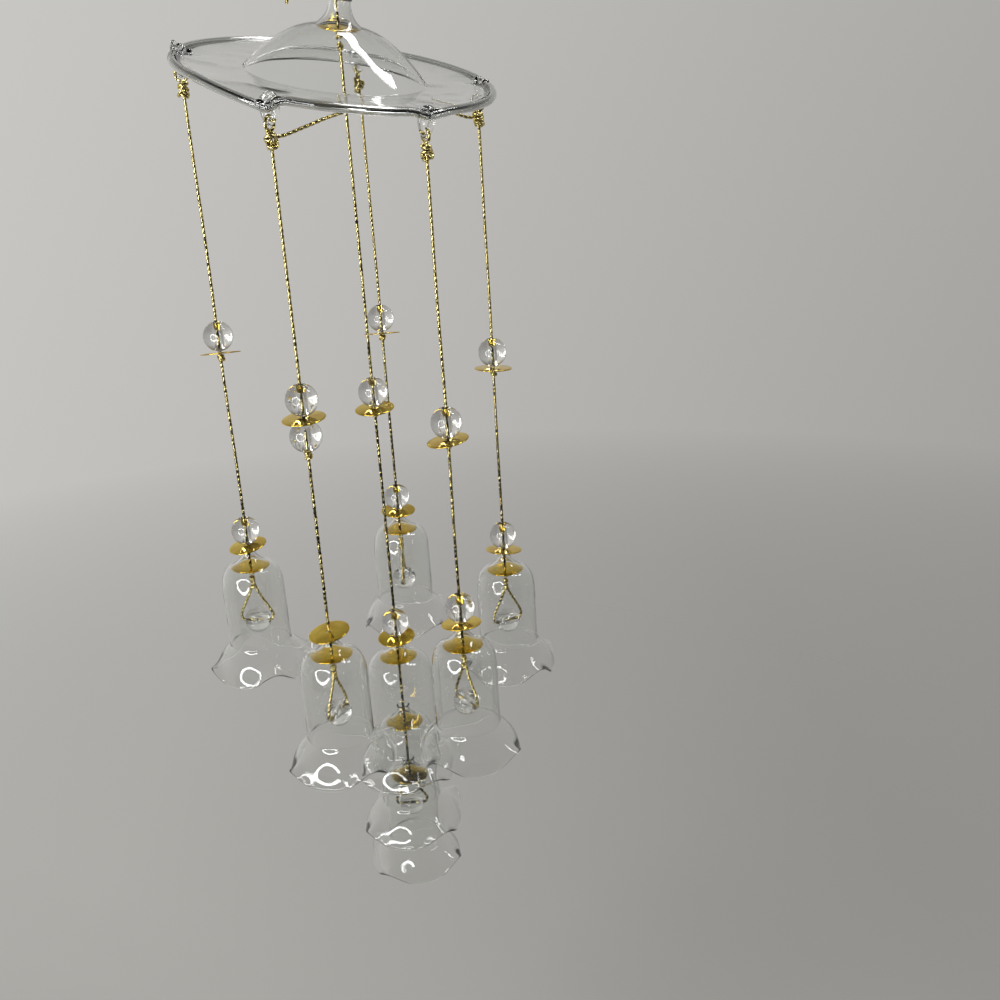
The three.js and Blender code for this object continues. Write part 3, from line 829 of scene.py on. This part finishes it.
# Backdrop: its tone level with the chime, how that rises upward and to the right, the spans of
# direction in which it dims overhead and to the front, and the light that matt pieces get
BACKDROP_TONE = 0.49
BACKDROP_RISE = 0.1
BACKDROP_RIGHT = -0.21
CEILING_SPAN = (0.3, 0.75)
FRONT_SPAN = (-0.7, 0.3)
SOFT_STRENGTH = 0.5


def place_camera(stage):
    """Camera at the photograph's angle."""
    data = bpy.data.cameras.new("camera")
    data.lens = stage.lens
    data.sensor_width = 36
    data.clip_start = 0.01
    camera = bpy.data.objects.new("camera", data)
    level = Matrix.Rotation(math.radians(90) + CAMERA_PITCH, 4, "X")
    camera.matrix_world = Matrix.Translation(CAMERA_PLACE) @ level @ Matrix.Rotation(CAMERA_ROLL, 4, "Z")
    bpy.context.scene.collection.objects.link(camera)
    bpy.context.scene.camera = camera


def lay_floor(stage):
    """A round pale floor whose edge fades into the backdrop."""
    bm = bmesh.new()
    bmesh.ops.create_circle(bm, cap_ends=True, segments=96, radius=FLOOR_RADIUS)
    bmesh.ops.translate(bm, verts=bm.verts, vec=(0, 0, -stage.floor_drop))
    floor = mesh_object("floor", bm)
    material, nodes, links, shader = blank_material("pale floor")
    shader.inputs["Roughness"].default_value = 0.9
    shader.inputs["Specular IOR Level"].default_value = 0
    place = nodes.new("ShaderNodeTexCoord")
    sides = nodes.new("ShaderNodeSeparateXYZ")
    links.new(place.outputs["Object"], sides.inputs["Vector"])
    across_floor = map_range(nodes, links, sides.outputs["X"], FLOOR_SHADE_SPAN)
    # Painted shade: the floor's colour darkens towards its right side.
    light_side = Vector(stage.pale) * stage.floor_tone
    tones = ((0, tuple(light_side)), (1, tuple(light_side * FLOOR_DARK_SIDE)))
    links.new(ramp(nodes, links, across_floor, tones), shader.inputs["Base Color"])
    reach = nodes.new("ShaderNodeVectorMath")
    reach.operation = "LENGTH"
    links.new(place.outputs["Object"], reach.inputs[0])
    fade = map_range(nodes, links, reach.outputs["Value"], FLOOR_FADE_SPAN)
    clear = nodes.new("ShaderNodeBsdfTransparent")
    mixed = nodes.new("ShaderNodeMixShader")
    links.new(fade, mixed.inputs["Fac"])
    links.new(shader.outputs["BSDF"], mixed.inputs[1])
    links.new(clear.outputs["BSDF"], mixed.inputs[2])
    links.new(mixed.outputs["Shader"], nodes["Material Output"].inputs["Surface"])
    floor.data.materials.append(material)


def paint_world(stage):
    """A pale backdrop, lighter to the left and dim overhead, with even grey for matt pieces."""
    world = bpy.data.worlds.new("studio")
    bpy.context.scene.world = world
    world.use_nodes = True
    nodes = world.node_tree.nodes
    links = world.node_tree.links
    shown = nodes["Background"]
    place = nodes.new("ShaderNodeTexCoord")
    split = nodes.new("ShaderNodeSeparateXYZ")
    links.new(place.outputs["Generated"], split.inputs["Vector"])
    level = math_node(nodes, links, "MULTIPLY_ADD", split.outputs["Z"], BACKDROP_RISE, BACKDROP_TONE)
    tone = math_node(nodes, links, "MULTIPLY_ADD", split.outputs["X"], BACKDROP_RIGHT, level)
    ceiling = map_range(nodes, links, split.outputs["Z"], CEILING_SPAN, (1, stage.overhead))
    dimmed = math_node(nodes, links, "MULTIPLY", tone, ceiling)
    shown.inputs["Color"].default_value = (*stage.pale, 1)
    path = nodes.new("ShaderNodeLightPath")
    front = map_range(nodes, links, split.outputs["Y"], FRONT_SPAN, (stage.front, 1))
    seen = nodes.new("ShaderNodeMix")
    seen.inputs["A"].default_value = 1
    links.new(path.outputs["Is Glossy Ray"], seen.inputs["Factor"])
    links.new(front, seen.inputs["B"])
    strength = math_node(nodes, links, "MULTIPLY", dimmed, seen.outputs["Result"])
    links.new(strength, shown.inputs["Strength"])
    soft = nodes.new("ShaderNodeBackground")
    soft.inputs["Color"].default_value = (*stage.pale, 1)
    soft.inputs["Strength"].default_value = SOFT_STRENGTH
    mixed = nodes.new("ShaderNodeMixShader")
    links.new(path.outputs["Is Diffuse Ray"], mixed.inputs["Fac"])
    links.new(shown.outputs["Background"], mixed.inputs[1])
    links.new(soft.outputs["Background"], mixed.inputs[2])
    links.new(mixed.outputs["Shader"], nodes["World Output"].inputs["Surface"])


def glowing(name, bm, strength):
    """A lamp shape that only reflections show."""
    lamp = mesh_object(name, bm)
    lamp.visible_camera = False
    lamp.visible_diffuse = False
    lamp.visible_shadow = False
    material = bpy.data.materials.new(name)
    material.use_nodes = True
    nodes = material.node_tree.nodes
    links = material.node_tree.links
    path = nodes.new("ShaderNodeLightPath")
    reflected = map_range(nodes, links, path.outputs["Glossy Depth"], to_range=(0, strength))
    glow = nodes.new("ShaderNodeEmission")
    links.new(reflected, glow.inputs["Strength"])
    links.new(glow.outputs["Emission"], nodes["Material Output"].inputs["Surface"])
    lamp.data.materials.append(material)


def swept(ends, start, angle, steps):
    """An open band: the line between two ends swept about Z, from one angle through another."""
    bm = bmesh.new()
    verts = [bm.verts.new(spot) for spot in ends]
    edge = bm.edges.new(verts)
    bmesh.ops.rotate(bm, verts=verts, cent=(0, 0, 0), matrix=Matrix.Rotation(start, 3, "Z"))
    bmesh.ops.spin(
        bm, geom=[*verts, edge], cent=(0, 0, 0), axis=UP, dvec=(0, 0, 0), angle=angle,
        steps=steps, use_merge=False, use_duplicate=False,
    )
    return bm


def arc_lamp(radius, width, gap):
    """A flat ring lamp with a gap, facing up its own axis."""
    ends = [(radius + side * width / 2, 0, 0) for side in (-1, 1)]
    return swept(ends, gap / 2 - math.pi, math.tau - gap, 72)


def strip_lamp(points, width):
    """A bent strip lamp along points, facing the crown."""
    bm = bmesh.new()
    middle_points = even_path(points, 0.04)
    last = None
    for spot, (side, over) in zip(middle_points, across(middle_points)):
        along = side.cross(over)
        wide = along.cross(CROWN_SEAT - spot).normalized() * width / 2
        pair = [bm.verts.new(spot - wide), bm.verts.new(spot + wide)]
        if last:
            bm.faces.new((last[0], last[1], pair[1], pair[0]))
        last = pair
    return bm


RING_LAMP_PLACE = Vector((-0.204, -0.352, -0.157))
RING_LAMP_AIM = Vector((0, -0.02, -0.25))
RING_LAMP_RADIUS = 0.178
RING_LAMP_WIDTH = 0.047
RING_LAMP_GAP = math.radians(45)
RING_LAMP_GLOW = 16
STREAK_LAMP = (
    (0.08, 0.64, 0.76), (0.18, 0.51, 0.84), (0.33, 0.27, 0.90), (0.44, 0.20, 0.88), (0.53, 0.14, 0.84),
    (0.62, 0.10, 0.78), (0.68, 0.13, 0.72), (0.72, 0.17, 0.67), (0.75, 0.25, 0.61),
)
STREAK_LAMP_WIDTH = 0.11
STREAK_LAMP_GLOW = 14
SOFT_LAMP_AIM = Vector((0, 0, -0.2))
CARD_DISTANCE = 0.5
CARD_HEIGHTS = (-0.46, -0.16)
CARD_SPAN = math.radians(130)


def aimed(spot, along):
    """Places a lamp at a spot, its own axis along a direction."""
    return Matrix.Translation(spot) @ along.to_track_quat("Z", "Y").to_matrix().to_4x4()


def hang_lamps():
    """A ring lamp beside the camera, a strip lamp overhead, two soft lamps and a dark card."""
    ring = arc_lamp(RING_LAMP_RADIUS, RING_LAMP_WIDTH, RING_LAMP_GAP)
    place = aimed(RING_LAMP_PLACE, RING_LAMP_AIM - RING_LAMP_PLACE)
    bmesh.ops.transform(ring, verts=ring.verts, matrix=place)
    glowing("ring lamp", ring, RING_LAMP_GLOW)
    strip = strip_lamp([CROWN_SEAT + Vector(p) for p in STREAK_LAMP], STREAK_LAMP_WIDTH)
    glowing("strip lamp", strip, STREAK_LAMP_GLOW)
    for name, spot, size, watts in (
        ("key", Vector((-0.7, -0.6, 0.7)), 0.7, 9),
        ("side", Vector((0.8, -0.25, 0.45)), 0.35, 5),
    ):
        data = bpy.data.lights.new(name, "AREA")
        data.size = size
        data.energy = watts
        light = bpy.data.objects.new(name, data)
        light.matrix_world = aimed(spot, spot - SOFT_LAMP_AIM)
        light.visible_glossy = False
        light.visible_transmission = False
        bpy.context.scene.collection.objects.link(light)
    glowing("dark card", dark_card(), 0)


def dark_card():
    """A dark card below and before the chime, which gives the metal its contrast."""
    ends = [(0, -CARD_DISTANCE, height) for height in CARD_HEIGHTS]
    return swept(ends, -CARD_SPAN / 2, CARD_SPAN, 24)


CORD_STEP = 0.24 * MM
CORD_SWAY = 0.16 * MM
SWAY_POINTS = 16
BEAD_REACH = 4.6 * MM


class CHIME_OT_cords(bpy.types.Operator):
    """Make the hanging cord and the cords of the strands, with their ties and knots"""

    bl_idname = "chime.cords"
    bl_label = "Cords"

    def execute(self, context):
        hang_loop()
        for name in OUTER:
            outer_cord(name)
        centre_cord()
        return {"FINISHED"}


class CHIME_OT_clapper_cords(bpy.types.Operator):
    """Make the loops of cord that carry the clapper beads"""

    bl_idname = "chime.clapper_cords"
    bl_label = "Clapper cords"

    def execute(self, context):
        for name in OUTER:
            clapper_cord(name)
        return {"FINISHED"}


def half_loop(shape, width, top, bottom):
    """One side of a hanging loop, from shares of its half width and height."""
    return [Vector((width * w, 0, bottom + (top - bottom) * h)) for w, h in shape]


def mirrored(points):
    return [Vector((-p.x, p.y, p.z)) for p in reversed(points)]


def knot_path(height, radius=KNOT_RADIUS):
    return even_path(knot_points(Vector((0, 0, height)), radius * 0.62, radius * 0.55), CORD_STEP)


def hang_loop():
    """The loop over the hook, its knot and loose end, and the stem down through the crown's neck."""
    knot_height = -LOOP_HEIGHT
    half = half_loop(LOOP_SHAPE, LOOP_HALF_WIDTH, knot_height, 0)
    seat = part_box("hanger_cord")[0].z + KNOT_RADIUS
    stem = [Vector((0, 0, z)) for z in (knot_height - 4 * MM, (knot_height + seat) / 2, seat)]
    top = Vector((0, 0, bpy.context.scene.chime_cord.diameter / 2))
    path = even_path([*half, top, *mirrored(half), *stem], CORD_STEP)
    tail = even_path([Vector(p) * MM + Vector((0, 0, knot_height)) for p in HANGER_TAIL], CORD_STEP)
    piece = new_cord_piece("hanger_cord", [path, knot_path(seat)], "hanger", "hanger_cord")
    ends = [Vector((0, 0, knot_height + reach)) for reach in (HANGER_KNOT_REACH, -HANGER_KNOT_REACH)]
    wrap = wrap_points(*ends, HANGER_KNOT_WIDTH, 3)
    new_cord_piece("hanger_knot", [even_path(wrap, CORD_STEP), tail], "hanger")


def moved(points, matrix):
    return [matrix @ p for p in points]


def outer_cord(name):
    """One outer strand's cord from its tie to the knot inside its bell, and the tie round the glass eye."""
    bar = PLACE[f"{name}_swing"]
    place = Matrix.Translation(bar) @ Matrix.Rotation(facing(name), 4, "Z")
    inner = PLACE[f"{name}_clapper_swing"].z + LINK_DROP - bar.z
    low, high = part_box(f"{name}_upper_disc")
    stop = (low.z + high.z) / 2 - bar.z - 1.7 * MM
    if name == DOUBLE_BEAD_STRAND:
        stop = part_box(f"{name}_lower_bead")[0].z - bar.z - 1.3 * MM
    tie = -TIE_KNOT_DROP
    line = []
    for i in range(SWAY_POINTS + 1):
        share = i / SWAY_POINTS
        drift = CORD_SWAY * math.sin(math.pi * share) * math.sin(11 * share + bar.x * 90)
        line.append(Vector((drift, drift * 0.6, tie + (inner - tie) * share)))
    path = moved(even_path(line, CORD_STEP), place)
    knots = [moved(knot_path(height), place) for height in (stop, inner)]
    piece = new_cord_piece(f"{name}_cord", [path, *knots], f"{name}_strand", f"{name}_cord")
    ring = []
    for i in range(25):
        angle = math.radians(-90 + 360 * i / 24)
        level, height = TIE_RADIUS * math.cos(angle), TIE_RADIUS * math.sin(angle)
        ring.append(Vector((level, TIE_OFFSET * math.sin(angle / 2), height)))
    start = Vector((0.3 * MM, 0, tie))
    turn = [start, *ring[1:-1], Vector((-0.3 * MM, 0, tie))]
    head = Vector((0, 0, tie + TIE_KNOT_REACH[0]))
    foot = Vector((0, 0, tie - TIE_KNOT_REACH[1]))
    phase = bar.x * 80
    wound = wrap_points(head, foot, TIE_KNOT_WIDTH, 3.5, TIE_KNOT_TILT, phase)
    crossed = wrap_points(foot, head, TIE_KNOT_WIDTH + TIE_OFFSET, 1.2, -2 * TIE_KNOT_TILT, phase + 1)
    paths = [moved(even_path(points, CORD_STEP), place) for points in (turn, wound, crossed)]
    if name in TAILS:
        knot = bar + Vector((0, 0, tie))
        paths.append(even_path([knot + Vector(p) * MM for p in TAILS[name]], CORD_STEP))
    new_cord_piece(f"{name}_tie", paths, f"{name}_strand")


def centre_cord():
    """The centre strand from the knot under the crown to the loop of its clapper."""
    top = PLACE["centre_swing"].z
    bead = middle("centre_clapper_bead").z
    seats = [middle(f"{bell}_inner_disc").z - SEAT_DROP for bell in CENTRE_TURNS]
    stop = middle("centre_upper_disc").z - SEAT_DROP
    fork = seats[-1]
    start = top + 1.4 * MM
    line = [Vector((0, 0, start + (fork - start) * i / 20)) for i in range(20)]
    half = half_loop(CLAPPER_SHAPE, CLAPPER_HALF_WIDTH, fork, bead)
    through = [Vector((x, 0, bead)) for x in (BEAD_REACH, 0, -BEAD_REACH)]
    path = even_path([*line, *half, *through, *mirrored(half)], CORD_STEP)
    knots = [knot_path(height) for height in (stop, *seats)]
    link = knot_path(top, LINK_KNOT_RADIUS)
    piece = new_cord_piece("centre_cord", [path, link, *knots], "centre_strand", "centre_cord")


def clapper_cord(name):
    """One clapper's cord: a doubled twisted stem, and a loop through the bead."""
    pivot = PLACE[f"{name}_clapper_swing"]
    place = Matrix.Translation(pivot) @ Matrix.Rotation(facing(name), 4, "Z")
    half = half_loop(CLAPPER_SHAPE, CLAPPER_HALF_WIDTH, -CLAPPER_FORK, -CLAPPER_LENGTH)
    through = [Vector((x, 0, -CLAPPER_LENGTH)) for x in (BEAD_REACH, 0, -BEAD_REACH)]
    stem = []
    for i in range(8):
        share = i / 8
        angle = math.pi * 1.5 * (1 - share)
        spoke = Vector((math.cos(angle), math.sin(angle), 0)) * 0.5 * MM
        stem.append(spoke + Vector((0, 0, -CLAPPER_FORK * share)))
    back = [Vector((-p.x, -p.y, p.z)) for p in reversed(stem)]
    path = moved(even_path([*stem, *half[1:], *through, *mirrored(half[1:]), *back], CORD_STEP), place)
    knots = [moved(knot_path(height, LINK_KNOT_RADIUS), place) for height in (0, -CLAPPER_FORK)]
    node = f"{name}_clapper_cord"
    piece = new_cord_piece(node, [path, *knots], f"{name}_clapper", node)


class CHIME_OT_crown(bpy.types.Operator):
    """Blow the glass crown with its rolled rim and glass eyes"""

    bl_idname = "chime.crown"
    bl_label = "Crown"

    def execute(self, context):
        glass = context.scene.chime_glass
        shell = spun(crown_outline(), CROWN_SEGMENTS)
        for vert in shell.verts:
            vert.co.z -= rim_dip(vert.co)
        eyes = bmesh.new()
        for eye in EYES.values():
            drawn = bmesh.new()
            add_link(drawn)
            add_folds(drawn, eye)
            turn = Matrix.Rotation(math.radians(eye["angle"]), 3, "Z")
            bmesh.ops.rotate(drawn, verts=drawn.verts, cent=(0, 0, 0), matrix=turn)
            add_mesh(eyes, drawn)
        bmesh.ops.recalc_face_normals(eyes, faces=eyes.faces)
        bm = united(shell, eyes)
        bore = spun([
            (CROWN_RIM_RADIUS + RIM_BORE * math.cos(math.tau * i / 16),
             CROWN_RIM_HEIGHT + RIM_BORE * math.sin(math.tau * i / 16))
            for i in range(16)
        ], CROWN_SEGMENTS)
        bmesh.ops.reverse_faces(bore, faces=bore.faces)
        for vert in bore.verts:
            vert.co.z -= rim_dip(vert.co)
        add_mesh(bm, bore)
        # Mask of the rolled rim, where its painted shade goes
        rolled = bm.verts.layers.float.new("rolled")
        for vert in bm.verts:
            outward = vert.co.xy.length - CROWN_RIM_RADIUS
            upward = vert.co.z + rim_dip(vert.co) - CROWN_RIM_HEIGHT
            near = math.hypot(outward, upward) < CROWN_RIM_TUBE + RIM_MARGIN
            vert[rolled] = 1.0 if near else 0.0
        tilt = Matrix.Rotation(
            CROWN_TILT, 4, Vector((-math.sin(CROWN_TILT_TOWARDS), math.cos(CROWN_TILT_TOWARDS), 0))
        )
        bmesh.ops.transform(bm, verts=bm.verts, matrix=Matrix.Translation(CROWN_SEAT) @ tilt)
        material = clear_glass_material("blown crown glass", glass.tint, 1.5, 60, 0.0006)
        # Painted shade: the rolled rim's glass is coloured grey.
        painted_shade_where(material, "rolled", glass.tint, glass.rim_painted_shade)
        new_piece("crown", bm, material, "crown", "crown")
        return {"FINISHED"}


class CHIME_OT_bells(bpy.types.Operator):
    """Blow the eight ruffled bells"""

    bl_idname = "chime.bells"
    bl_label = "Bells"

    def execute(self, context):
        glass = context.scene.chime_glass
        material = clear_glass_material("blown bell glass", glass.tint, 1.48, 90, 0.0004)
        for name, strand in OUTER.items():
            turn = facing(name) + math.radians(strand["turn"])
            bm = bell_mesh("outer", PLACE[f"{name}_bell_spin"], turn)
            new_piece(f"{name}_bell", bm, material, f"{name}_bell", f"{name}_bell")
        for name, turn in CENTRE_TURNS.items():
            bm = bell_mesh(name, PLACE[f"{name}_spin"], math.radians(turn))
            new_piece(name, bm, material, name, name)
        return {"FINISHED"}


BEAD_RADIUS = 5 * MM
CLAPPER_BEAD_RADIUS = 4.6 * MM
BEAD_HOLE = 1.1 * MM


def nodes_ending(ending):
    """The bodies and names of the CAD nodes whose names end in a word."""
    bodies = frame["record"]["behaviour"]["bodies"]
    return [(body, node) for body, nodes in bodies.items() for node in nodes if node.endswith(ending)]


class CHIME_OT_beads(bpy.types.Operator):
    """Make the clear beads of the strands and clappers"""

    bl_idname = "chime.beads"
    bl_label = "Beads"

    def execute(self, context):
        tint = context.scene.chime_glass.bead_tint
        material = clear_glass_material("bead glass", tint, 1.56, 300, 0.0001)
        for body, node in nodes_ending("_bead"):
            clapper = node.endswith("clapper_bead")
            bm = bead_mesh(CLAPPER_BEAD_RADIUS if clapper else BEAD_RADIUS, BEAD_HOLE)
            place = Matrix.Translation(middle(node))
            if clapper:
                name = node[: -len("_clapper_bead")]
                around = facing(name) if name in OUTER else 0.0
                place = place @ Matrix.Rotation(around, 4, "Z") @ Matrix.Rotation(math.radians(90), 4, "Y")
            bmesh.ops.transform(bm, verts=bm.verts, matrix=place)
            new_piece(node, bm, material, body, node)
        return {"FINISHED"}


class CHIME_OT_discs(bpy.types.Operator):
    """Stamp the thin brass discs"""

    bl_idname = "chime.discs"
    bl_label = "Discs"

    def execute(self, context):
        material = brass_material()
        for body, node in nodes_ending("_disc"):
            bm = disc_mesh()
            place = Matrix.Translation(middle(node)) @ disc_lean(node)
            bmesh.ops.transform(bm, verts=bm.verts, matrix=place)
            new_piece(node, bm, material, body, node)
        return {"FINISHED"}


def disc_lean(node):
    """How a disc leans on its cord."""
    if node == "crown_disc":
        return lean_matrix((math.degrees(CROWN_TILT), math.degrees(CROWN_TILT_TOWARDS)))
    for name, strand in OUTER.items():
        if node == f"{name}_upper_disc":
            return lean_matrix(strand["upper"], facing(name))
        if node == f"{name}_bell_disc":
            return lean_matrix(strand["bell"], facing(name))
    if node in ("centre_upper_disc", "centre_bell_disc"):
        return lean_matrix(CENTRE_LEAN)
    return Matrix.Identity(4)


class CHIME_PT_panel(bpy.types.Panel):
    """Lists the pieces of the chime and their settings"""

    bl_label = "Glass bell chime"
    bl_idname = "CHIME_PT_panel"
    bl_space_type = "VIEW_3D"
    bl_region_type = "UI"
    bl_category = "Chime"

    def draw(self, context):
        for settings, operators in PANEL_ROWS:
            box = self.layout.box()
            group = getattr(context.scene, settings)
            for key in group.bl_rna.properties.keys():
                if key not in ("rna_type", "name"):
                    box.prop(group, key)
            for operator in operators:
                box.operator(operator)


PANEL_ROWS = (
    ("chime_stage", ("chime.stage",)),
    ("chime_cord", ("chime.cords", "chime.clapper_cords")),
    ("chime_glass", ("chime.crown", "chime.bells", "chime.beads")),
    ("chime_brass", ("chime.discs",)),
)
SETTINGS = {
    "chime_cord": ChimeCordSettings,
    "chime_glass": ChimeGlassSettings,
    "chime_brass": ChimeBrassSettings,
    "chime_stage": ChimeStageSettings,
}
OPERATORS = (
    CHIME_OT_stage,
    CHIME_OT_cords,
    CHIME_OT_clapper_cords,
    CHIME_OT_crown,
    CHIME_OT_bells,
    CHIME_OT_beads,
    CHIME_OT_discs,
)


def register():
    for group in SETTINGS.values():
        bpy.utils.register_class(group)
    for name, group in SETTINGS.items():
        setattr(bpy.types.Scene, name, bpy.props.PointerProperty(type=group))
    for operator in OPERATORS:
        bpy.utils.register_class(operator)
    bpy.utils.register_class(CHIME_PT_panel)


def unregister():
    bpy.utils.unregister_class(CHIME_PT_panel)
    for operator in reversed(OPERATORS):
        bpy.utils.unregister_class(operator)
    for name, group in SETTINGS.items():
        delattr(bpy.types.Scene, name)
        bpy.utils.unregister_class(group)


def main():
    register()
    bpy.ops.chime.stage()
    bpy.ops.chime.cords()
    bpy.ops.chime.clapper_cords()
    bpy.ops.chime.crown()
    bpy.ops.chime.bells()
    bpy.ops.chime.beads()
    bpy.ops.chime.discs()


if __name__ == "__main__":
    main()
